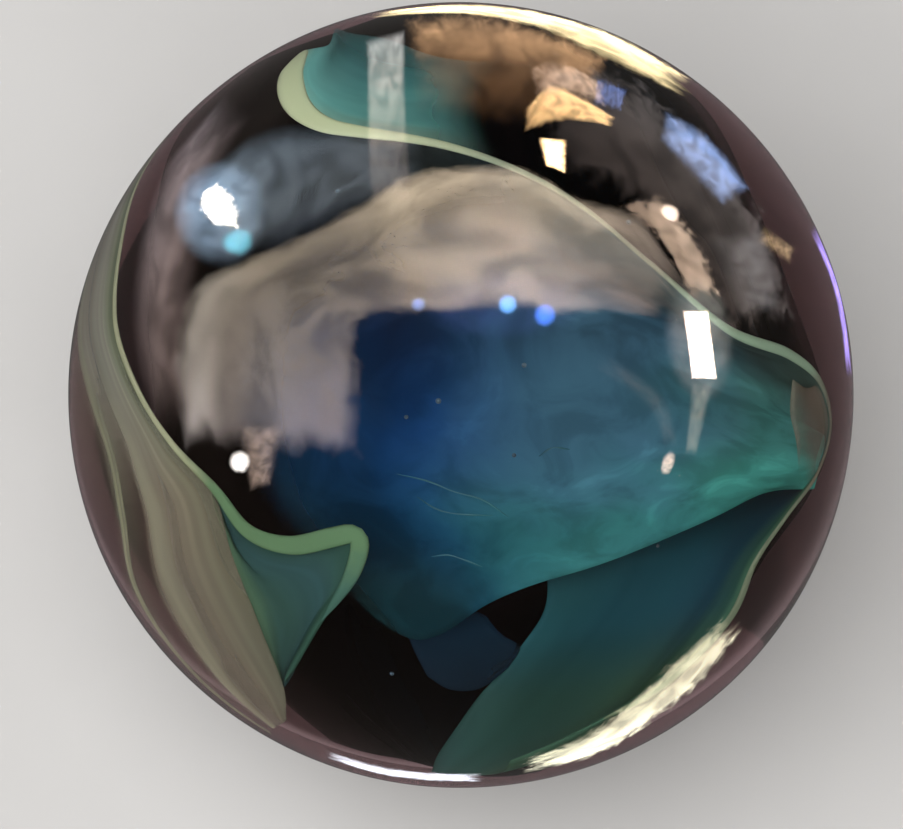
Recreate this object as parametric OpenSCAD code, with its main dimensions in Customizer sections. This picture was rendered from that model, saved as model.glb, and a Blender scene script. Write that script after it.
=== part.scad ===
// Large solid glass marble.
// One ball of transparent glass. The coloured glass is fused into it while hot, so
// the finished marble is a single solid with a plain polished surface all over.
// The origin is the centre of the ball, and +Z points up.

/* [Ball] */
// Diameter of the marble, in mm
marble_d = 50; // [10:1:200]

/* [Colour] */
// Tint of the glass, as red, green and blue from 0 to 1
glass_tint = [0.20, 0.38, 0.42];
// Opacity of the glass in the preview
glass_opacity = 0.6; // [0.1:0.1:1]

/* [Hidden] */
marble_r = marble_d / 2;
ball_segments = 180;

// The whole ball, centred on the origin
module marble() {
    color(glass_tint, glass_opacity)
        sphere(r = marble_r, $fn = ball_segments);
}

marble();
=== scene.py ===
"""Looks of a large hand-made glass marble, resting on a pale studio floor.

Shapes are laid out in the marble's face frame, in millimetres from its centre: x runs to
the right, y runs up the face and z points out of the face at the viewer. tilted() turns
them into the part's own frame.
"""
from math import asin, cos, pi, radians, sin, sqrt, tan

import bpy
from mathutils import Matrix, Vector

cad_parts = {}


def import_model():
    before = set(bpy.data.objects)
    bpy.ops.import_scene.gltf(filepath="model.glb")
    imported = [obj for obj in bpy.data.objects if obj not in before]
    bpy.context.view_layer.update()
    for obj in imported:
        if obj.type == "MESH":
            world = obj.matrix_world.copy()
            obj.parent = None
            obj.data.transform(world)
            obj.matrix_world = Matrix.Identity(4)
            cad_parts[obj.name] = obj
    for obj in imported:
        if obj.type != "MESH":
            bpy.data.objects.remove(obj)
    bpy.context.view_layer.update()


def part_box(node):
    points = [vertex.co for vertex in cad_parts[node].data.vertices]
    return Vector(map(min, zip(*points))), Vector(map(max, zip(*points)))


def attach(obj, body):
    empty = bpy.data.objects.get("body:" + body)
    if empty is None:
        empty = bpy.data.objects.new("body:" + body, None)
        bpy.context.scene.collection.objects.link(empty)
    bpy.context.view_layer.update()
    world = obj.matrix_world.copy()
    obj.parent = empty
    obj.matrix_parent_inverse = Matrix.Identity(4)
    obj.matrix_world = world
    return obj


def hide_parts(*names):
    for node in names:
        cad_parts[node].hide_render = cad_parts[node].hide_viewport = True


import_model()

MM = 0.001
LOW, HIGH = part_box("marble")
BALL_R = (HIGH.z - LOW.z) / 2 / MM          # radius of the marble, in mm
SKIN = 0.4                                  # mm from the ball's surface to the middle of a rim
LEAST_SKIN = SKIN * 0.6                     # mm of clear glass left over everything inside

CAMERA_ELEVATION = 60.0                     # degrees above the floor
CAMERA_DISTANCE = 250.0                     # mm from the marble's centre
HALF_WIDTH_SHARE = 0.43632                  # the marble's half-width over the frame's width
EYE = Vector((-0.6, -1.2, CAMERA_DISTANCE))  # the camera, in the face frame, looking along -z
FACE = Matrix.Rotation(radians(90 - CAMERA_ELEVATION), 3, "X")

scene = bpy.context.scene
scene.view_settings.view_transform = "Standard"

# Light paths long enough to pass the ball's skin and the see-through ribbons inside it.
scene.cycles.max_bounces = 8
scene.cycles.transmission_bounces = 8
scene.cycles.glossy_bounces = 4
scene.cycles.transparent_max_bounces = 12
scene.cycles.diffuse_bounces = 2


# ---------------------------------------------------------------- geometry helpers

def tilted(point):
    """A point of the face frame, in mm, as a place in the part's frame, in metres."""
    return FACE @ Vector(point) * MM


def on_face(x, y, depth=SKIN):
    """The point of the front surface at x, y, sunk by depth towards the centre."""
    r = BALL_R - depth
    return Vector((x, y, sqrt(max(r * r - x * x - y * y, 0.0))))


def held_in(p):
    """The point, kept under the marble's least skin of clear glass."""
    top = BALL_R - LEAST_SKIN
    return p if p.length < top else p.normalized() * top


def spline(points, t):
    """The place at t, from 0 to 1, on a smooth curve through the points."""
    last = len(points) - 1
    whole = min(int(t * last), last - 1)
    f = t * last - whole
    p1, p2 = points[whole], points[whole + 1]
    p0 = points[whole - 1] if whole > 0 else p1 * 2 - p2
    p3 = points[whole + 2] if whole + 2 <= last else p2 * 2 - p1
    bend = p0 * 2 - p1 * 5 + p2 * 4 - p3
    swing = p1 * 3 - p0 - p2 * 3 + p3
    return p1 + ((p2 - p0) * f + bend * f * f + swing * f ** 3) / 2


def even_run(points, count):
    """count + 1 points at even steps along the smooth curve through the points."""
    fine_steps = 400
    fine = [spline(points, i / fine_steps) for i in range(fine_steps + 1)]
    lengths = [0.0]
    for a, b in zip(fine, fine[1:]):
        lengths.append(lengths[-1] + (b - a).length)
    out, at = [], 0
    for i in range(count + 1):
        want = lengths[-1] * i / count
        while at < fine_steps - 1 and lengths[at + 1] < want:
            at += 1
        gap = max(lengths[at + 1] - lengths[at], 1e-9)
        out.append(fine[at].lerp(fine[at + 1], (want - lengths[at]) / gap))
    return out


def rounded_edge(distance, steepness, least):
    """The share of its full thickness that a shape has at this distance from its edge."""
    return min(1.0, sqrt(distance * steepness) + least)


def mesh_of(name, verts, faces, material, flow=None):
    """A mesh from face-frame points; flow holds each one's place along and across it."""
    mesh = bpy.data.meshes.new(name)
    mesh.from_pydata([tilted(v) for v in verts], [], faces)
    if flow:
        layer = mesh.uv_layers.new(name="Flow")
        for loop in mesh.loops:
            layer.data[loop.index].uv = flow[loop.vertex_index]
    mesh.materials.append(material)
    return mesh


def add_piece(name, verts, faces, material, flow=None):
    """A smooth-shaded piece of the marble."""
    mesh = mesh_of(name, verts, faces, material, flow)
    mesh.polygons.foreach_set("use_smooth", [True] * len(mesh.polygons))
    mesh.update()
    piece = bpy.data.objects.new(name, mesh)
    scene.collection.objects.link(piece)
    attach(piece, "root")
    return piece


def rod(name, path, radii, material, steps=160, sides=12):
    """A rim of changing thickness along a smooth path, flattened and closed at both ends."""
    flatness = 0.6                          # depth over width
    run = even_run([Vector(p) for p in path], steps)
    sizes = [Vector((r, 0, 0)) for r in radii]
    verts, flow = [], []
    for i, p in enumerate(run):
        t = i / steps
        ahead = (run[min(i + 1, steps)] - run[max(i - 1, 0)]).normalized()
        out = p.normalized()
        side = ahead.cross(out).normalized()
        out = side.cross(ahead).normalized()
        r = spline(sizes, t).x * rounded_edge(min(t, 1 - t), 24, 0.15)
        for k in range(sides):
            a = 2 * pi * k / sides
            verts.append(held_in(p + side * cos(a) * r + out * sin(a) * r * flatness))
            flow.append((t, k / sides))
    faces = []
    for i in range(steps):
        for k in range(sides):
            n = (k + 1) % sides
            a, b = i * sides, (i + 1) * sides
            faces.append((a + k, b + k, b + n, a + n))
    faces.append(tuple(range(sides)))
    faces.append(tuple(steps * sides + k for k in reversed(range(sides))))
    return add_piece(name, verts, faces, material, flow)


def sheet(name, rows, thickness, material, along=110, across=60, waves=()):
    """A thin closed sheet of glass lofted through rows of points, with soft waves in it.

    Each wave is (height in mm, turns along, turns across, start).
    """
    rise = 5                                # waves are full a fifth of the way in from a side
    runs = [even_run([Vector(p) for p in row], along) for row in rows]
    grid = [[spline([run[i] for run in runs], j / across) for j in range(across + 1)]
            for i in range(along + 1)]
    front, back, flow = [], [], []
    for i in range(along + 1):
        for j in range(across + 1):
            du = grid[min(i + 1, along)][j] - grid[max(i - 1, 0)][j]
            dv = grid[i][min(j + 1, across)] - grid[i][max(j - 1, 0)]
            n = du.cross(dv).normalized()
            u, v = i / along, j / across
            calm = min(1.0, v * rise) * min(1.0, (1 - v) * rise)
            lift = calm * sum(h * sin(2 * pi * (a * u + b * v) + s) for h, a, b, s in waves)
            share = rounded_edge(min(u, 1 - u, v, 1 - v), 10, 0.12)
            p = grid[i][j] + n * lift
            front.append(held_in(p + n * thickness * share / 2))
            back.append(held_in(p - n * thickness * share / 2))
            flow.append((u, v))
    wide, size = across + 1, len(front)
    faces = []
    for i in range(along):
        for j in range(across):
            a, b = i * wide + j, (i + 1) * wide + j
            faces.append((a, b, b + 1, a + 1))
            faces.append((size + a, size + a + 1, size + b + 1, size + b))
    edge = [i * wide for i in range(along + 1)]
    edge += [along * wide + j for j in range(1, wide)]
    edge += [i * wide + across for i in range(along - 1, -1, -1)]
    edge += list(range(across - 1, 0, -1))
    for a, b in zip(edge, edge[1:] + edge[:1]):
        faces.append((b, a, size + a, size + b))
    return add_piece(name, front + back, faces, material, flow + flow)


# ---------------------------------------------------------------- material helpers

class Nodes:
    """Short calls for building one material's node tree."""

    def __init__(self, name):
        self.material = bpy.data.materials.new(name)
        self.material.use_nodes = True
        self.tree = self.material.node_tree
        self.tree.nodes.clear()
        self.out = self.add("ShaderNodeOutputMaterial")

    def add(self, kind, **settings):
        """A new node with these settings."""
        node = self.tree.nodes.new(kind)
        for key, value in settings.items():
            setattr(node, key, value)
        return node

    def link(self, source, target):
        """A link from one node's output to another's input."""
        self.tree.links.new(source, target)

    def feed(self, target, value):
        """Sets an input to a number, or links it to an output."""
        if isinstance(value, (int, float)):
            target.default_value = value
        else:
            self.link(value, target)

    def place(self):
        """The place in the object's own frame, in metres."""
        return self.add("ShaderNodeTexCoord").outputs["Object"]

    def flow(self):
        """The place along and across a piece, each from 0 to 1."""
        parts = self.add("ShaderNodeSeparateXYZ")
        self.link(self.add("ShaderNodeUVMap", uv_map="Flow").outputs["UV"], parts.inputs[0])
        return parts.outputs["X"], parts.outputs["Y"]

    def stretched(self, along, across):
        """The flow scaled, so that a noise on it runs in streaks."""
        scale = self.add("ShaderNodeMapping")
        scale.inputs["Scale"].default_value = (along, across, 1)
        self.link(self.add("ShaderNodeUVMap", uv_map="Flow").outputs["UV"], scale.inputs[0])
        return scale.outputs[0]

    def noise(self, vector, scale, detail=3.0, twist=0.0):
        """A smooth random value from 0 to 1, mostly near a half."""
        tex = self.add("ShaderNodeTexNoise")
        tex.inputs["Scale"].default_value = scale
        tex.inputs["Detail"].default_value = detail
        tex.inputs["Distortion"].default_value = twist
        self.link(vector, tex.inputs["Vector"])
        return tex.outputs["Fac"]

    def maths(self, kind, a, b):
        """One step of arithmetic on numbers or outputs."""
        node = self.add("ShaderNodeMath", operation=kind)
        self.feed(node.inputs[0], a)
        self.feed(node.inputs[1], b)
        return node.outputs[0]

    def wandering(self, place, drift, reach):
        """The place, moved to and fro by half of reach at most, as drift goes from 0 to 1."""
        shift = self.maths("MULTIPLY", self.maths("SUBTRACT", drift, 0.5), reach)
        return self.maths("ADD", place, shift)

    def mixed(self, factor, first, second, kind="MIX"):
        """Two colours blended. The node has one set of sockets for each type of value."""
        node = self.add("ShaderNodeMix", data_type="RGBA", blend_type=kind)
        factor_in, first_colour_in, second_colour_in, colour_out = 0, 6, 7, 2
        self.feed(node.inputs[factor_in], factor)
        self.feed(node.inputs[first_colour_in], first)
        self.feed(node.inputs[second_colour_in], second)
        return node.outputs[colour_out]

    def ramp(self, factor, stops):
        """A smooth ramp through (place, colour or grey) stops."""
        node = self.add("ShaderNodeValToRGB")
        band = node.color_ramp
        band.interpolation = "EASE"
        while len(band.elements) < len(stops):
            band.elements.new(0.5)
        for element, (place, colour) in zip(band.elements, stops):
            element.position = place
            grey = isinstance(colour, (int, float))
            element.color = (colour,) * 3 + (1,) if grey else tuple(colour) + (1,)
        self.link(factor, node.inputs[0])
        return node.outputs[0]

    def changing(self, along, across, stops, stops_end):
        """A ramp across, which turns into a second one half-way along if there is one."""
        first = self.ramp(across, stops)
        if stops_end is None:
            return first
        change = self.ramp(along, [(0.35, 0.0), (0.65, 1.0)])
        return self.mixed(change, first, self.ramp(across, stops_end))

    def matte(self, colour, roughness=0.9, cover=None):
        """The material, finished without gloss, and see-through where cover is under 1."""
        skin = self.add("ShaderNodeBsdfPrincipled")
        skin.inputs["Roughness"].default_value = roughness
        skin.inputs["Specular IOR Level"].default_value = 0.0
        self.link(colour, skin.inputs["Base Color"])
        if cover is not None:
            self.link(cover, skin.inputs["Alpha"])
        self.link(skin.outputs[0], self.out.inputs["Surface"])
        return self.material


def ribbon_glass(name, colours, cover, streak=(1.5, 9), streak_depth=0.35, along=None,
                 colours_end=None, cover_end=None):
    """Coloured translucent glass inside the marble, streaked along the ribbon.

    colours and cover are ramps across the ribbon, which change into colours_end and
    cover_end along it; along is a ramp along the ribbon that multiplies the cover.
    """
    n = Nodes(name)
    u, v = n.flow()
    drift = n.noise(n.stretched(2.0, 3.0), 1.6, 4.0, 0.6)
    shifted = n.wandering(v, drift, 0.18)
    streaks = n.noise(n.stretched(*streak), 1.0, 2.5, 0.5)
    shade = n.ramp(streaks, [(0.3, 1 - streak_depth), (0.65, 1.0)])
    tint = n.mixed(1.0, n.changing(u, shifted, colours, colours_end), shade, "MULTIPLY")
    alpha = n.maths("MULTIPLY", n.changing(u, v, cover, cover_end), shade)
    if along:
        alpha = n.maths("MULTIPLY", alpha, n.ramp(u, along))
    return n.matte(tint, cover=alpha)


def ball_glass():
    """Smoky polished glass with a thin oily lustre and faint smears."""
    thinnest, thickest = 72, 104            # the oily film, in nanometres
    n = Nodes("smoky_lustre_glass")
    place = n.place()
    skin = n.add("ShaderNodeBsdfPrincipled")
    skin.inputs["Transmission Weight"].default_value = 1.0
    skin.inputs["IOR"].default_value = 1.5
    skin.inputs["Thin Film IOR"].default_value = 1.36
    tint = n.ramp(n.noise(place, 60, 3), [(0.35, (0.96, 0.97, 1.0)), (0.65, (1.0, 0.98, 0.97))])
    n.link(tint, skin.inputs["Base Color"])
    smears = n.noise(place, 140, 6, 1.5)
    n.link(n.ramp(smears, [(0.45, 0.0), (0.75, 0.05)]), skin.inputs["Roughness"])
    film = n.add("ShaderNodeMapRange")
    film.inputs["To Min"].default_value = thinnest
    film.inputs["To Max"].default_value = thickest
    n.link(n.noise(place, 45, 3, 0.8), film.inputs["Value"])
    n.link(film.outputs[0], skin.inputs["Thin Film Thickness"])
    smoke = n.add("ShaderNodeVolumeAbsorption")
    smoke.inputs["Color"].default_value = (0.42, 0.27, 0.29, 1)
    smoke.inputs["Density"].default_value = 60.0
    n.link(skin.outputs[0], n.out.inputs["Surface"])
    n.link(smoke.outputs[0], n.out.inputs["Volume"])
    return n.material


# ---------------------------------------------------------------- the marble's parts

def unevenness(d):
    """How far the hand-made skin stands off a true ball in the direction d, in mm."""
    broad = 0.035 * sin(3.1 * d.x + 1.7 * d.y + 0.4)
    middling = 0.02 * sin(6.3 * d.y - 4.1 * d.z)
    fine = 0.012 * sin(11 * d.z + 7 * d.x + 2.0)
    sunk = 0.06                             # so that the crests barely pass the true ball
    return broad + middling + (fine - sunk)


def glass_ball():
    """The ball's skin: a cube sphere with the faint unevenness of hand-made glass."""
    steps = 120
    verts, faces, seen = [], [], {}

    def vertex(direction):
        """The number of the vertex in this direction, which neighbouring sides share."""
        key = tuple(round(c, 6) for c in direction)
        if key not in seen:
            d = Vector(direction)
            seen[key] = len(verts)
            verts.append(d * (BALL_R + unevenness(d)))
        return seen[key]

    def spread(i):
        """The place of grid line i on a side from -1 to 1, at even angles from the centre."""
        return tan((i / steps - 0.5) * pi / 2)

    for axis in range(3):
        for sign in (-1, 1):
            grid = []
            for i in range(steps + 1):
                line = []
                for j in range(steps + 1):
                    p = [0.0, 0.0, 0.0]
                    p[axis] = sign
                    p[(axis + 1) % 3] = spread(i) * sign
                    p[(axis + 2) % 3] = spread(j)
                    line.append(vertex(Vector(p).normalized()))
                grid.append(line)
            for i in range(steps):
                for j in range(steps):
                    faces.append((grid[i][j], grid[i + 1][j], grid[i + 1][j + 1], grid[i][j + 1]))
    ball = add_piece("glass_ball", verts, faces, ball_glass())
    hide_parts("marble")


# The pale lines that edge the ribbons, as points of the face in mm. The left-hand line ends
# in a hook, and a fin hangs inside it; the right-hand line starts with the loop at the top.
LEFT_LINE = [(-18, 16.5), (-19.9, 13), (-20.6, 9.5), (-20.9, 6), (-20.6, 3.4), (-19, -0.2),
             (-17, -3), (-14.5, -5.5), (-12.5, -8), (-10, -8.8), (-7.5, -8.3), (-6.3, -8.1)]
HOOK_LINE = [(-6.3, -8.1), (-5.9, -8.8), (-6.5, -10.7), (-8.2, -13.3), (-10.5, -17)]
FIN_LINE = [(-14.5, -5.5), (-13.4, -9.4), (-12, -13.2), (-10.6, -17.2)]
RIGHT_LINE = [(-9.5, 21), (-10.3, 19.3), (-9.8, 17.3), (-8.3, 16), (-6, 15.4), (-1, 14.5),
              (3.5, 12.9), (7.1, 10.8), (11.2, 7.4), (15.6, 3.8), (19.5, 2.4), (21.6, 0.8),
              (22.4, -1.8), (21.5, -4.7), (19.5, -7.2), (17.5, -10), (16, -13.5), (12, -17.5),
              (8.5, -19.5)]


def line_glass(name, colours):
    """Milky pale glass of a ribbon's rim, with cloudy changes along it."""
    n = Nodes(name)
    along = n.flow()[0]
    drift = n.noise(n.stretched(9.0, 0.5), 2.0, 4.0)
    return n.matte(n.ramp(n.wandering(along, drift, 0.12), colours), 0.8)


def left_rim():
    """The pale line down the left, and its hook."""
    pale, green, teal = (0.42, 0.43, 0.27), (0.13, 0.23, 0.12), (0.07, 0.16, 0.12)
    glass = line_glass("left_rim_glass", [(0.0, pale), (0.52, pale), (0.66, green), (0.85, green),
                                          (0.95, teal)])
    path = [on_face(x, y) for x, y in LEFT_LINE + HOOK_LINE[1:4]]
    radii = [0.12, 0.2, 0.22, 0.24, 0.24, 0.22, 0.28, 0.5, 0.62, 0.5, 0.08]
    rod("left_ribbon_rim", path, radii, glass)


def right_rim():
    """The pale line from the loop at the top, over the middle and down the right."""
    pale, thin, green = (0.66, 0.72, 0.44), (0.28, 0.30, 0.21), (0.36, 0.50, 0.34)
    glass = line_glass("right_rim_glass",
                       [(0.0, pale), (0.18, pale), (0.3, (0.36, 0.40, 0.27)), (0.42, thin),
                        (0.5, green), (0.6, green), (0.68, (0.22, 0.20, 0.15)),
                        (0.8, (0.26, 0.32, 0.21)), (1.0, (0.2, 0.28, 0.16))])
    path = [on_face(x, y) for x, y in RIGHT_LINE]
    radii = [0.7, 0.9, 0.6, 0.36, 0.25, 0.18, 0.15, 0.2, 0.32, 0.32, 0.2, 0.18, 0.22, 0.38, 0.4,
             0.3]
    rod("right_ribbon_rim", path, radii, glass, steps=260)


def cloud_glass():
    """Navy glass that turns teal towards the ribbon's free edge and green at its right end."""
    n = Nodes("cloud_glass")
    u, v = n.flow()
    drift = n.noise(n.stretched(2.5, 2.0), 1.5, 3.0, 0.4)
    across = n.wandering(v, drift, 0.35)
    along = n.wandering(u, drift, 0.25)
    left = n.ramp(across, [(0.05, (0.02, 0.04, 0.05)), (0.3, (0.02, 0.05, 0.12)),
                           (0.55, (0.012, 0.085, 0.29)), (0.95, (0.012, 0.09, 0.15))])
    right = n.ramp(across, [(0.05, (0.07, 0.12, 0.12)), (0.32, (0.08, 0.22, 0.31)),
                            (0.6, (0.10, 0.30, 0.42)), (0.92, (0.06, 0.32, 0.32))])
    tip = n.ramp(across, [(0.1, (0.06, 0.11, 0.09)), (0.45, (0.08, 0.32, 0.29)),
                          (0.9, (0.08, 0.45, 0.37))])
    broad = n.mixed(n.ramp(along, [(0.2, 0.0), (0.55, 1.0)]), left, right)
    tint = n.mixed(n.ramp(along, [(0.6, 0.0), (0.85, 1.0)]), broad, tip)
    dusk = n.ramp(along, [(0.03, (1, 0.55, 0.35)), (0.16, (1, 0.65, 0.5)), (0.3, (1, 1, 1))])
    blots = n.ramp(n.noise(n.stretched(7, 6), 1.3, 7.0, 0.8), [(0.35, 0.7), (0.58, 1.0), (0.72, 1.3)])
    shaded = n.mixed(1.0, tint, n.mixed(1.0, dusk, blots, "MULTIPLY"), "MULTIPLY")
    cover = n.ramp(v, [(0.0, 0.9), (0.4, 0.9), (1.0, 0.97)])
    thin_start = n.ramp(u, [(0.0, 0.0), (0.1, 1.0)])
    return n.matte(shaded, cover=n.maths("MULTIPLY", cover, thin_start))


def cloud_sheet():
    """The broad ribbon from the right-hand line, down through the middle, to its free edge."""
    rim = [on_face(x, y) for x, y in RIGHT_LINE[3:14]]
    deep = [(-12, 6, 15), (-6, 6, 14.5), (1, 6, 14), (6, 5, 14), (10, 3.5, 13.5), (14, 1, 13),
            (18, -1, 11.5), (21.7, -2.6, 10)]
    low = [(-12, -4, 15), (-6, -4, 16), (0, -4, 16.5), (4, -4, 16.5), (8, -3.5, 16), (12, -3, 15),
           (17, -3.5, 12.5), (21.6, -4, 10.5)]
    edge = [(-5.5, -11.6, 15), (-3, -13.3, 15), (-1.2, -13.2, 15.7), (1.4, -11.5, 16.7),
            (4, -10.4, 17), (7.9, -9.2, 16.4), (13.8, -6.8, 13.9), (17, -5.4, 11.5), (21, -5.6, 10.3)]
    sheet("cloud_sheet", [rim, deep, low, edge], 0.6, cloud_glass(),
          waves=[(0.4, 1.5, 0.5, 0.3)])


def lower_sheet():
    """The dark green ribbon at the lower right, behind the cloud's free edge."""
    rim = [on_face(x, y) for x, y in RIGHT_LINE[13:]]
    rim = rim + [Vector((3, -22, 10))]
    mid = [(17, -4, 6), (14, -7.5, 9), (12, -11, 9.5), (9, -15, 8.5), (6, -18.5, 7), (1.5, -21.5, 5)]
    edge = [(4, -6, 11), (4.5, -9.6, 13), (4.3, -11.4, 12.5), (3.2, -13.2, 12), (2.4, -14.3, 11.2),
            (1, -15.8, 9.8), (-0.1, -17.3, 8), (-1.2, -19, 5.5), (-1.6, -20.5, 4)]
    glass = ribbon_glass(
        "dark_green_glass",
        [(0.0, (0.10, 0.26, 0.16)), (0.12, (0.05, 0.17, 0.14)), (0.3, (0.025, 0.11, 0.16)),
         (0.7, (0.03, 0.15, 0.19)), (1.0, (0.035, 0.17, 0.19))],
        [(0.0, 0.97), (0.3, 0.97), (1.0, 0.97)], streak=(0.7, 3), streak_depth=0.1,
        colours_end=[(0.0, (0.10, 0.26, 0.16)), (0.12, (0.06, 0.16, 0.09)), (0.4, (0.06, 0.16, 0.10)),
                     (0.75, (0.045, 0.15, 0.12)), (1.0, (0.05, 0.15, 0.13))])
    sheet("lower_sheet", [rim, mid, edge], 0.5, glass, waves=[(0.4, 1.0, 0.7, 1.0)])


def veil_sheet():
    """The streaked olive ribbon that wraps the left flank."""
    rim = [on_face(x, y) for x, y in LEFT_LINE[:7]]
    rim += [on_face(x, y, 0.8) for x, y in FIN_LINE] + [on_face(-10.5, -19.5, 0.8)]
    mid = [on_face(x, y, 0.8) for x, y in
           [(-19, 15.5), (-21.6, 10.8), (-22.8, 7), (-23.1, 4), (-22.4, 0.6), (-21, -3.5), (-20.3, -7.5),
            (-19.5, -12), (-16, -17), (-11.5, -20.5)]]
    back = [(-18, 15, -8), (-21, 9, -8), (-22.5, 2, -6), (-22.5, -6, -4), (-19.5, -13, -2),
            (-15, -18, 1), (-10, -21.7, 3)]
    glass = ribbon_glass(
        "olive_veil_glass",
        [(0.0, (0.28, 0.32, 0.20)), (0.2, (0.40, 0.39, 0.31)), (0.42, (0.38, 0.36, 0.28)),
         (0.5, (0.48, 0.48, 0.34)), (0.56, (0.32, 0.26, 0.19)), (1.0, (0.28, 0.20, 0.14))],
        [(0.0, 0.9), (0.25, 0.75), (0.4, 0.62), (0.5, 0.8), (0.58, 0.3), (1.0, 0.1)],
        streak=(0.8, 7), streak_depth=0.3,
        colours_end=[(0.0, (0.30, 0.29, 0.20)), (0.2, (0.38, 0.33, 0.24)), (0.3, (0.58, 0.55, 0.38)),
                     (0.38, (0.30, 0.22, 0.16)), (0.5, (0.60, 0.60, 0.38)), (0.6, (0.30, 0.22, 0.16))],
        cover_end=[(0.0, 0.85), (0.22, 0.65), (0.31, 0.8), (0.36, 0.1), (0.47, 0.1), (0.5, 0.8),
                   (0.54, 0.1), (0.9, 0.0)])
    sheet("veil_sheet", [rim, mid, back], 0.4, glass, waves=[(0.3, 1.2, 1.0, 0.0)])


def hook_sheet():
    """The dark teal fin inside the hook of the left-hand line."""
    rim = [on_face(x, y, 0.5) for x, y in LEFT_LINE[7:] + HOOK_LINE[1:]]
    mid = [on_face(x, y, 1.6) for x, y in
           [(-14.4, -6.2), (-12.5, -9.5), (-10, -11), (-9, -13), (-10.5, -17)]]
    edge = [on_face(x, y, 0.9) for x, y in FIN_LINE]
    glass = ribbon_glass(
        "hook_glass",
        [(0.0, (0.05, 0.13, 0.09)), (0.3, (0.045, 0.11, 0.11)), (0.7, (0.05, 0.12, 0.10)),
         (1.0, (0.08, 0.15, 0.09))],
        [(0.0, 0.97), (0.4, 0.97), (1.0, 0.97)], streak=(1.0, 3), streak_depth=0.15)
    sheet("hook_sheet", [rim, mid, edge], 0.4, glass, waves=[(0.15, 1.0, 0.5, 0.0)])


def lobe_sheet():
    """The small navy lobe that hangs under the cloud's free edge."""
    top = [(-4.2, -9.5, 13.2), (-1.2, -10.6, 13.2), (0.9, -11.4, 13.2), (1.3, -11.9, 13.3)]
    mid = [(-3.2, -11.8, 13), (-0.4, -12.4, 13), (1.4, -12.3, 13), (2, -12.6, 12.8)]
    low = [(-2.5, -13.6, 12.2), (-0.6, -14.2, 12), (1.5, -13.8, 12), (3.1, -13.3, 12)]
    tail = [(-1.8, -14.9, 11), (-0.6, -15.6, 10.4), (1, -15.5, 10.3), (2.5, -14.4, 11.2)]
    glass = ribbon_glass(
        "navy_lobe_glass", [(0.0, (0.012, 0.045, 0.08)), (1.0, (0.015, 0.038, 0.06))],
        [(0.0, 0.97), (0.4, 0.97), (1.0, 0.97)], streak=(1.0, 2), streak_depth=0.08)
    sheet("lobe_sheet", [top, mid, low, tail], 0.3, glass, along=60, across=40)


def fold_sheet():
    """The narrow brownish fold between the cloud's right end and the line round it."""
    rim = [on_face(x, y, 0.6) for x, y in RIGHT_LINE[11:15]]
    mid = [(20.4, 0.4, 12.6), (21, -1.6, 11.9), (20.9, -3.6, 12), (20, -6, 12)]
    back = [(19.3, 0.9, 13.5), (19, -1, 13.3), (19.5, -2.8, 12.8), (20, -5.8, 12)]
    glass = ribbon_glass(
        "brown_fold_glass", [(0.0, (0.32, 0.26, 0.19)), (0.7, (0.26, 0.19, 0.14)),
                             (1.0, (0.34, 0.34, 0.24))],
        [(0.0, 0.6), (0.5, 0.45), (0.85, 0.25), (0.97, 0.5)], streak_depth=0.15,
        along=[(0.0, 1.0), (0.45, 0.9), (0.85, 0.0)])
    sheet("fold_sheet", [rim, mid, back], 0.25, glass, along=60, across=30)


def loop_sheet():
    """The bright teal fold inside the loop at the top left."""
    rim = [on_face(x, y) for x, y in RIGHT_LINE[:7]]
    mid = [(-8, 20.5, 8), (-8, 19, 11), (-7, 18, 13), (-5, 17, 14), (-2, 16.5, 14.5), (2, 16, 14)]
    back = [(-7, 20.5, 3), (-6, 20, 5), (-4, 19.5, 7), (-2, 18.5, 8.5), (0, 18, 9), (3, 17.5, 8)]
    glass = ribbon_glass(
        "bright_teal_glass",
        [(0.0, (0.40, 0.66, 0.50)), (0.25, (0.24, 0.68, 0.60)), (1.0, (0.10, 0.44, 0.44))],
        [(0.0, 0.97), (0.5, 0.95), (1.0, 0.4)], along=[(0.0, 1.0), (0.6, 0.9), (0.95, 0.0)],
        streak=(1.5, 4), streak_depth=0.1)
    sheet("loop_sheet", [rim, mid, back], 0.5, glass, waves=[(0.25, 1.0, 0.5, 0.0)])


def painted_shade_sheet():
    """A near-black sheet behind the ribbons, which leaves a clear rim: painted shade, standing in for
    the shadow under the ball that shows through the glass.
    """
    left = [(-8.7, 13.8, -5.5), (-11.5, 11, -5), (-13, 7.6, -3), (-13.5, 4, -1.6), (-13.5, 0, 0),
            (-13.5, -4.7, 1.5), (-12, -9.3, 1.5), (-9, -13, 0), (-5.8, -15.4, -2)]
    middle = [(-3, 15.7, -6), (-4, 10, -7.5), (-5, 4, -8), (-5, -2, -7), (-5, -8, -5), (-3.5, -13, -3.5),
              (-1, -16.7, -2.5)]
    right = [(1, 16, -5), (3, 10, -7.5), (5, 4, -8), (6, -2, -7), (6, -8, -5), (5, -13, -3.5),
             (3, -16.7, -2.5)]
    far = [(4, 16, -3.4), (10, 13.4, -3), (13.3, 8.8, 0), (15.2, 4.4, 0.5), (16.4, -1.2, -1.7),
           (15.8, -4.2, -1), (13.9, -7.3, 0.5), (12.3, -10, 0.5), (10, -12.6, -0.5), (7, -15.2, -1.5)]
    # The sheet's near-black colours are painted shade, not a colour of the glass.
    glass = ribbon_glass(
        "painted_shade_glass",
        [(0.0, (0.03, 0.02, 0.018)), (0.5, (0.008, 0.022, 0.03)), (1.0, (0.01, 0.02, 0.028))],
        [(0.0, 0.5), (0.1, 0.95), (0.9, 0.95), (1.0, 0.5)])
    sheet("painted_shade_sheet", [left, middle, right, far], 0.6, glass, waves=[(0.6, 1.0, 1.0, 0.5)])


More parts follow.
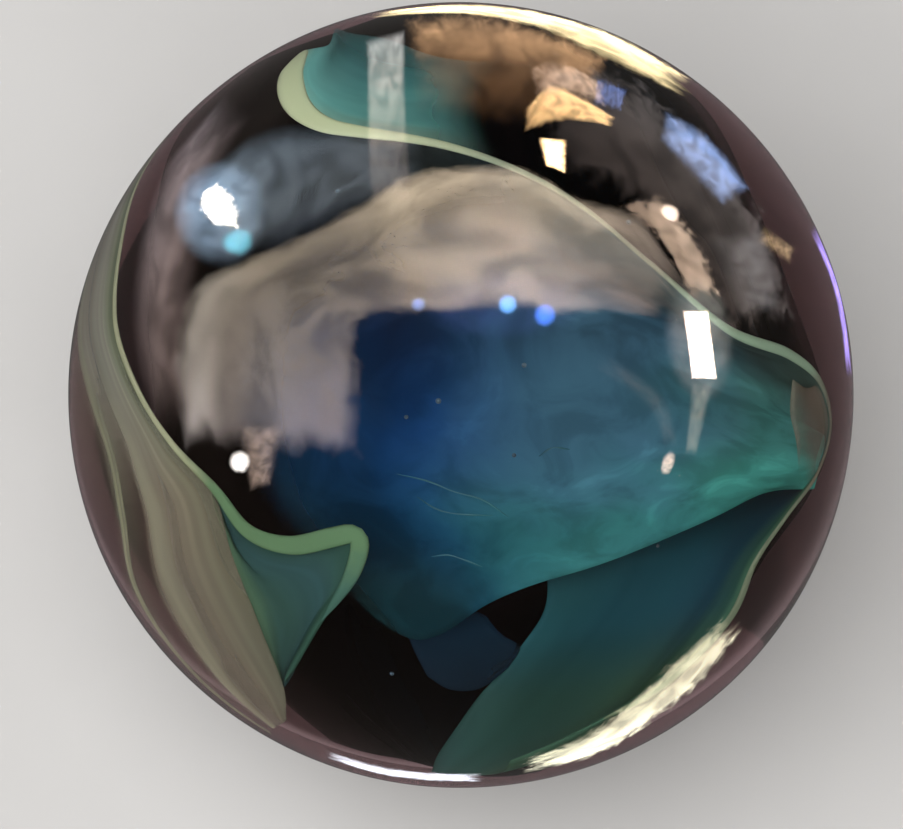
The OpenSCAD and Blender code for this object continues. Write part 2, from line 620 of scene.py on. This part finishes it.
def add_bead(verts, faces, x, y, z, r):
    """Adds a small round bead at x, y, z to a mesh's vertices and faces."""
    rings, sides = 8, 12
    first = len(verts)
    verts.append(Vector((x, y, z + r)))
    for i in range(1, rings):
        a = pi * i / rings
        for k in range(sides):
            b = 2 * pi * k / sides
            verts.append(Vector((x + r * sin(a) * cos(b), y + r * sin(a) * sin(b), z + r * cos(a))))
    last = len(verts)
    verts.append(Vector((x, y, z - r)))
    for k in range(sides):
        m = (k + 1) % sides
        faces.append((first, first + 1 + k, first + 1 + m))
        for i in range(rings - 2):
            row = first + 1 + i * sides
            faces.append((row + k, row + sides + k, row + sides + m, row + m))
        row = first + 1 + (rings - 2) * sides
        faces.append((last, row + m, row + k))


def seed_bubbles():
    """A few milky seeds, the specks of air and ash that a hand-made marble keeps."""
    n = Nodes("milky_seed_glass")
    skin = n.add("ShaderNodeBsdfPrincipled")
    skin.inputs["Roughness"].default_value = 0.5
    milk = n.noise(n.place(), 900, 2)
    tint = n.ramp(milk, [(0.4, (0.05, 0.10, 0.14)), (0.6, (0.10, 0.16, 0.19))])
    n.link(tint, skin.inputs["Base Color"])
    n.link(skin.outputs[0], n.out.inputs["Surface"])
    seeds = [(-1.3, -0.4, 22, 0.16), (-3.1, -1.3, 22, 0.12), (3.5, 1.6, 22.5, 0.14),
             (2.9, -3.4, 21, 0.12), (-19.2, -2.6, 14.5, 0.12), (-7, 11.5, 18, 0.12),
             (9.5, 9.8, 18.5, 0.14), (11, -8.5, 17, 0.10), (-4, -16, 16, 0.14)]
    verts, faces = [], []
    for x, y, z, radius in seeds:
        add_bead(verts, faces, x, y, z, radius)
    add_piece("seed_bubbles", verts, faces, n.material)


def scratches():
    """A few fine pale scratches that lie just under the polish."""
    glass = line_glass("scratch_glass", [(0.0, (0.03, 0.11, 0.15)), (0.5, (0.08, 0.19, 0.22)),
                                         (1.0, (0.04, 0.16, 0.18))])
    strokes = [("long", [(-3.8, -4.6), (-2, -5), (-0.5, -5.6), (1.2, -6.1), (2.7, -7.1)]),
               ("middle", [(-2.6, -5.9), (-1.5, -6.6), (-0.3, -6.9), (1.8, -7)]),
               ("low", [(-1.8, -9.4), (-0.8, -9.3), (0.2, -9.6), (1.2, -10)]),
               ("short", [(4.4, -3.6), (5.2, -3.1), (6.2, -3.2)])]
    radii = [0.02, 0.05, 0.025, 0.05, 0.02]
    for name, stroke in strokes:
        path = [on_face(x, y) for x, y in stroke]
        rod(name + "_scratch", path, radii, glass, steps=60, sides=6)


# ---------------------------------------------------------------- studio

def floor():
    """A plain pale floor, kept out of the ball's mirror so that its dark ribbons read clearly."""
    half = 1.6                              # metres
    n = Nodes("pale_floor")
    grain = n.noise(n.place(), 40, 4)
    n.matte(n.ramp(grain, [(0.3, (0.42, 0.41, 0.4)), (0.7, (0.44, 0.43, 0.42))]))
    mesh = bpy.data.meshes.new("floor")
    corners = [(x, y, LOW.z) for x, y in ((-half, -half), (half, -half), (half, half), (-half, half))]
    mesh.from_pydata(corners, [], [(0, 1, 2, 3)])
    mesh.materials.append(n.material)
    ground = bpy.data.objects.new("floor", mesh)
    scene.collection.objects.link(ground)
    ground.visible_glossy = False


def mirrored_at(x, y):
    """A surface point, and the direction that it mirrors to the camera."""
    p = on_face(x, y, 0)
    n = p.normalized()
    eye = (EYE - p).normalized()
    return p, n * (2 * n.dot(eye)) - eye


def card_glow(radiance, colour, edge, levels, bands, hues, ragged):
    """A soft, slightly uneven glow that thins out to nothing at the card's edges.

    edge is the part of the card that it thins out over, or None for a round glow; ragged
    is how far, in the same measure, the edge wanders in and out. The card adds its glow to
    what lies behind it, and it is left out of the search for light on other surfaces.
    """
    n = Nodes("card_glow")
    u, v = n.flow()
    if edge is None:
        du = n.maths("POWER", n.maths("SUBTRACT", u, 0.5), 2.0)
        dv = n.maths("POWER", n.maths("SUBTRACT", v, 0.5), 2.0)
        fade = n.ramp(n.maths("ADD", du, dv), [(0.02, 1.0), (0.24, 0.0)])
    else:
        near_u = n.maths("MINIMUM", u, n.maths("SUBTRACT", 1.0, u))
        near_v = n.maths("MINIMUM", v, n.maths("SUBTRACT", 1.0, v))
        near = n.maths("MINIMUM", n.maths("MULTIPLY", near_u, 2.0), near_v)
        if ragged:
            torn = n.maths("SUBTRACT", n.noise(n.stretched(7, 3), 2.5, 4.0, 0.8), 0.62)
            near = n.maths("ADD", near, n.maths("MULTIPLY", torn, ragged))
        fade = n.ramp(near, [(0.0, 0.0), (edge, 1.0)])
    patches = n.ramp(n.noise(n.stretched(4, 2), 1.8, 4.0, 0.5), [(0.32, 0.5), (0.66, 1.0)])
    strength = n.maths("MULTIPLY", n.maths("MULTIPLY", fade, patches), radiance)
    if levels:
        strength = n.maths("MULTIPLY", strength, n.ramp(u, levels))
    if bands:
        strength = n.maths("MULTIPLY", strength, n.ramp(v, bands))
    glow = n.add("ShaderNodeEmission")
    glow.inputs["Color"].default_value = tuple(colour) + (1,)
    if hues:
        n.link(n.ramp(u, hues), glow.inputs["Color"])
    n.link(strength, glow.inputs["Strength"])
    both = n.add("ShaderNodeAddShader")
    n.link(glow.outputs[0], both.inputs[0])
    n.link(n.add("ShaderNodeBsdfTransparent").outputs[0], both.inputs[1])
    n.link(both.outputs[0], n.out.inputs["Surface"])
    n.material.cycles.emission_sampling = "NONE"
    return n.material


def glow_card(name, outer, inner, radiance, colour=(1, 1, 1), edge=0.06, distance=3000,
              levels=None, bands=None, hues=None, ragged=0.0):
    """A softbox cut so that the ball mirrors it as the strip between two lines of face points.

    It is a highlight alone, seen by mirrored rays only: the key lamp and the dim room light
    the pieces. distance is how far from the ball it hangs, in mm. levels and bands are ramps
    of its brightness along and across the strip, and hues is a ramp of its colour along it.
    """
    steps, wide = 40, 12
    tops = [Vector((x, y, 0)) for x, y in outer]
    lows = [Vector((x, y, 0)) for x, y in inner]
    verts, flow, faces = [], [], []
    for i in range(steps + 1):
        for j in range(wide + 1):
            u, v = i / steps, j / wide
            p = spline(tops, u).lerp(spline(lows, u), v)
            spot, way = mirrored_at(p.x, p.y)
            verts.append(spot + way * distance)
            flow.append((u, v))
    for i in range(steps):
        for j in range(wide):
            k = i * (wide + 1) + j
            faces.append((k, k + 1, k + wide + 2, k + wide + 1))
    glow = card_glow(radiance, colour, edge, levels, bands, hues, ragged)
    card = bpy.data.objects.new(name, mesh_of(name, verts, faces, glow, flow))
    card.visible_camera = False
    card.visible_diffuse = False
    card.visible_transmission = False
    card.visible_shadow = False
    scene.collection.objects.link(card)


def key_lamp():
    """One big soft lamp above the face, which the ball doesn't mirror."""
    lamp = bpy.data.lights.new("key_lamp", "AREA")
    lamp.shape = "DISK"
    lamp.size = 4.0                         # metres across
    lamp.energy = 200.0                     # watts
    holder = bpy.data.objects.new("key_lamp", lamp)
    place = Vector((-0.7, -1.3, 2.2))       # metres, to the left of the viewer and high up
    holder.location = place
    holder.rotation_mode = "QUATERNION"
    holder.rotation_quaternion = place.to_track_quat("Z", "Y")
    holder.visible_camera = False
    holder.visible_glossy = False
    scene.collection.objects.link(holder)


def lights():
    """The key lamp, and a softbox for each highlight and each dim reflection on the ball."""
    key_lamp()
    glow_card("overhead",
              [(14, 5.5), (10.5, 10.5), (7, 11.5), (3.5, 13.3), (-2, 13.3), (-5, 11.8), (-9, 9.6),
               (-12.8, 8), (-16.2, 6.5), (-17.4, 2), (-16.6, -3.6)],
              [(12, 4.5), (8, 4.6), (5, 4.5), (3, 4.8), (0, 4.5), (-2.5, 4.5), (-4.8, 4.5),
               (-5.9, 3.8), (-5.7, 1.5), (-5.6, -1), (-5.7, -3.9)], 30, edge=0.1, ragged=0.12,
              levels=[(0.0, 0.35), (0.2, 0.85), (0.3, 1.25), (0.45, 1.0), (0.6, 0.45), (0.8, 0.5),
                      (1.0, 0.62)],
              bands=[(0.0, 1.0), (0.14, 1.0), (0.28, 0.72), (0.6, 0.85), (1.0, 0.95)],
              hues=[(0.0, (0.9, 0.94, 1)), (0.3, (0.94, 1, 0.88)), (0.65, (0.88, 0.96, 0.92)),
                    (0.8, (0.84, 0.93, 0.98)), (1.0, (0.82, 0.92, 1.12))])
    glow_card("haze_tongue", [(-13.4, -1.6), (-12.5, -5.9)], [(-10, -1.6), (-11, -5.4)], 15,
              (1, 0.97, 0.98), edge=0.35, distance=2900, ragged=0.15)
    glow_card("left_band", [(-14.5, 19), (-18.4, 14), (-19.8, 8.5), (-19.8, 3), (-18.2, -2.5)],
              [(-12.5, 17), (-14.8, 12.5), (-15.4, 8), (-15.8, 3), (-15.5, -2.5)], 5,
              (0.95, 0.86, 1), edge=0.5, distance=2900,
              levels=[(0.0, 0.45), (0.3, 0.6), (0.55, 1.0), (0.75, 0.8), (1.0, 0.6)])
    glow_card("dim_window", [(-15.4, 13.6), (-12, 16), (-8, 16), (-2, 14.6)],
              [(-15.2, 8.4), (-11.6, 8), (-8, 9.5), (-2, 12.6)], 6.5, (0.6, 0.92, 1.35), edge=0.3,
              distance=3100)
    glow_card("top_strip", [(-6, 21.8), (-5.4, 10.6)], [(-3.5, 22.5), (-2.8, 10.6)], 11,
              (0.92, 0.98, 1.05), edge=0.15,
              levels=[(0.0, 0.5), (0.25, 0.6), (0.3, 1.0), (0.62, 1.0), (0.7, 0.45), (1.0, 0.3)])
    glow_card("blue_window", [(12.2, 17.5), (15.2, 15.8), (17.8, 12.4)],
              [(11.8, 15.2), (13.5, 13.2), (15.6, 11)], 15, (0.3, 0.48, 1), edge=0.3, ragged=0.15)
    glow_card("blue_scrap", [(8.2, 19.4), (10.2, 18.6)], [(7.8, 17.2), (9.6, 16.8)], 8,
              (0.2, 0.35, 1), edge=0.25, distance=2900, ragged=0.4)
    glow_card("dim_right", [(14.3, 9.5), (15.2, 7), (16.5, 4.4)], [(18.5, 10), (19.3, 7.5), (19.3, 5)],
              3.2, (0.8, 0.92, 1.15), edge=0.45)
    glow_card("gold_streak", [(18.2, 10.4), (20.6, 9)], [(17.6, 9), (20, 7.6)], 5, (1, 0.78, 0.5),
              edge=0.5, distance=2950, ragged=0.3)
    glow_card("room_right", [(3.6, 21), (9.5, 20), (15.5, 15.5), (19, 10), (20.5, 4)],
              [(4, 13), (8.5, 11.5), (11, 9), (13.5, 6), (16, 3)], 2.6, (0.88, 0.88, 1.0), edge=0.2,
              distance=3100, ragged=0.5, levels=[(0.0, 0.6), (0.4, 0.8), (0.7, 0.7), (1.0, 0.9)])
    glow_card("window_head", [(8.6, 11.2), (11.4, 9), (13.4, 5.4)],
              [(12, 12), (14.3, 9), (15.7, 5.6)], 21, (1, 0.93, 0.88), edge=0.25, ragged=0.5)
    glow_card("window_glint", [(11.6, 11.3), (11.8, 10.2)], [(13.1, 11.1), (12.9, 9.9)], 70,
              (0.95, 0.95, 1), edge=None, distance=2900)
    glow_card("brown_room", [(-4, 23.6), (1, 23.9), (6, 22.6), (9.4, 20.6)],
              [(-3, 16.4), (1.5, 15.4), (5, 15.8), (8, 17.2)], 5, (1.1, 0.7, 0.4), edge=0.25,
              ragged=0.2, bands=[(0.0, 1.0), (0.36, 0.9), (0.5, 0.45), (1.0, 0.35)])
    glow_card("top_crescent", [(-6, 23.9), (0, 24.5), (5, 24.1), (10, 22.6), (14.8, 19.6)],
              [(-6, 23.4), (0, 23.5), (4.8, 22.4), (8.7, 20.4), (14, 18)], 8, (1, 0.86, 0.5),
              edge=0.25, ragged=0.25)
    glow_card("low_crescent", [(-8.6, -21.8), (-5, -22.9), (-2, -23.3), (1.4, -23.4)],
              [(-8.4, -22.6), (-5, -23.7), (-2, -24.1), (1.4, -24.2)], 7, (0.85, 0.93, 1.1), edge=0.3,
              ragged=0.3)
    glow_card("low_patch", [(3, -22.5), (7, -20.8), (9.6, -18.8), (12.8, -15.8), (15.9, -13.2)],
              [(3.3, -23.7), (8.5, -22.4), (12.3, -19.9), (15.1, -17.4), (17.4, -14.2)], 10,
              (0.97, 1, 0.8), edge=0.25, ragged=0.4)
    glow_card("gold_patch", [(3.6, 16.8), (5.4, 18.6), (7.4, 17.8), (9.4, 16.5)],
              [(3.6, 15.3), (5.4, 15.9), (7.2, 16.1), (9, 15.9)], 34, (1, 0.76, 0.42), edge=0.2,
              distance=2900, ragged=0.25)
    glow_card("cream_patch", [(3.8, 20), (6.5, 20.2), (8.8, 18.8)],
              [(4.4, 17.4), (6.8, 17.6), (8.8, 17)], 9, (1, 0.8, 0.68), edge=0.3, distance=2950,
              ragged=0.4)
    glow_card("warm_lamp", [(4.4, 15.2), (4.8, 13.3)], [(6.3, 15), (6.2, 12.8)], 210, (1, 0.85, 0.55),
              edge=0.22, distance=2800, ragged=0.4)
    glow_card("right_window", [(13, 5), (13.5, 1)], [(14.6, 5), (15.1, 1)], 200, edge=0.1,
              distance=2800)
    glow_card("window_halo", [(11.4, 7.4), (11.9, -0.6)], [(16, 7.4), (16.6, -0.6)], 12,
              (0.75, 0.95, 1.1), edge=None, distance=2850)
    glow_card("window_tail", [(13.4, 1), (13, -3.6)], [(15, 1), (13.8, -3.6)], 12, (0.8, 1, 1),
              edge=0.35, distance=2900)
    glow_card("spark", [(11.7, -3.3), (11.4, -4.8)], [(12.7, -3.1), (12.3, -4.8)], 50, edge=None,
              distance=2800)
    glow_card("faint_arc", [(7.2, 1.8), (10.6, -0.6), (11.8, -3.2)],
              [(8.4, 2.6), (11.9, 0), (12.8, -3.2)], 4, (0.7, 0.9, 1), edge=0.5, distance=2900)
    glow_card("left_lamp", [(-15.7, 12.1), (-15.8, 10.8), (-14.9, 9.9)],
              [(-14.7, 12.7), (-13.4, 11.3), (-13.2, 9.5)], 180, (0.85, 0.95, 1), edge=0.25,
              distance=2800, ragged=0.5)
    glow_card("left_lamp_halo", [(-17.8, 14.2), (-17.4, 7.2)], [(-11.4, 14.2), (-11.2, 7.2)], 18,
              (0.35, 0.6, 1), edge=None, distance=2850)
    glow_card("blue_glint", [(-14.7, 9.6), (-12.2, 9.9)], [(-14.4, 8.1), (-12.4, 7.9)], 60,
              (0.1, 0.5, 0.8), edge=None, distance=2700)
    glow_card("small_lamp", [(-13.8, -3.2), (-13.8, -4.7)], [(-12.3, -3.2), (-12.3, -4.7)], 130,
              (0.72, 0.9, 1.1), edge=None, distance=2800)
    glow_card("blue_dots_halo", [(-3, 7.5), (7.5, 7.5)], [(-3, 3), (7.5, 3)], 6, (0.15, 0.3, 1.2),
              edge=None, distance=2850)
    glow_card("blue_dot_left", [(1.9, 5.9), (3.2, 5.9)], [(1.9, 4.6), (3.2, 4.6)], 150, (0.1, 0.4, 1),
              edge=None, distance=2800)
    glow_card("blue_dot_right", [(4, 5.4), (5.5, 5.4)], [(4, 3.9), (5.5, 3.9)], 140, (0.05, 0.2, 1),
              edge=None, distance=2800)
    glow_card("blue_dot_far", [(-3.2, 5.7), (-2.2, 5.7)], [(-3.2, 4.8), (-2.2, 4.8)], 70, (0.1, 0.3, 1),
              edge=None, distance=2800)
    glow_card("violet_edge", [(22.2, 10.8), (23.9, 6.5), (24.6, 1)],
              [(21.6, 10.3), (23.2, 6.3), (24, 1)], 3.5, (0.4, 0.3, 1), edge=0.4)


def world():
    """A dim room, palest just above the horizon."""
    w = bpy.data.worlds.new("studio")
    w.use_nodes = True
    scene.world = w
    nodes, links = w.node_tree.nodes, w.node_tree.links
    nodes.clear()
    place = nodes.new("ShaderNodeTexCoord")
    parts = nodes.new("ShaderNodeSeparateXYZ")
    ramp = nodes.new("ShaderNodeValToRGB")
    sky = nodes.new("ShaderNodeBackground")
    out = nodes.new("ShaderNodeOutputWorld")
    stops = [(0.0, 0.10), (0.42, 0.12), (0.52, 0.22), (0.68, 0.05)]     # height, grey
    while len(ramp.color_ramp.elements) < len(stops):
        ramp.color_ramp.elements.new(0.5)
    for element, (height, grey) in zip(ramp.color_ramp.elements, stops):
        element.position = height
        element.color = (grey, grey * 0.98, grey * 0.97, 1)
    heights = nodes.new("ShaderNodeMapRange")       # straight down is 0, straight up is 1
    heights.inputs["From Min"].default_value = -1
    links.new(place.outputs["Generated"], parts.inputs[0])
    links.new(parts.outputs["Z"], heights.inputs["Value"])
    links.new(heights.outputs[0], ramp.inputs[0])
    links.new(ramp.outputs[0], sky.inputs["Color"])
    links.new(sky.outputs[0], out.inputs["Surface"])


def camera():
    """A close view down onto the marble's face, which fills 87% of the frame's width."""
    cam = bpy.data.cameras.new("camera")
    cam.sensor_width = 36.0
    cam.lens = cam.sensor_width * HALF_WIDTH_SHARE / tan(asin(BALL_R / CAMERA_DISTANCE))
    cam.clip_start = 0.01
    cam.clip_end = 10
    holder = bpy.data.objects.new("camera", cam)
    holder.location = tilted(EYE)
    holder.rotation_mode = "QUATERNION"
    holder.rotation_quaternion = (FACE @ Vector((0, 0, 1))).to_track_quat("Z", "Y")
    scene.collection.objects.link(holder)
    scene.camera = holder


camera()
glass_ball()
left_rim()
right_rim()
cloud_sheet()
lower_sheet()
veil_sheet()
hook_sheet()
lobe_sheet()
fold_sheet()
loop_sheet()
painted_shade_sheet()
seed_bubbles()
scratches()
floor()
lights()
world()
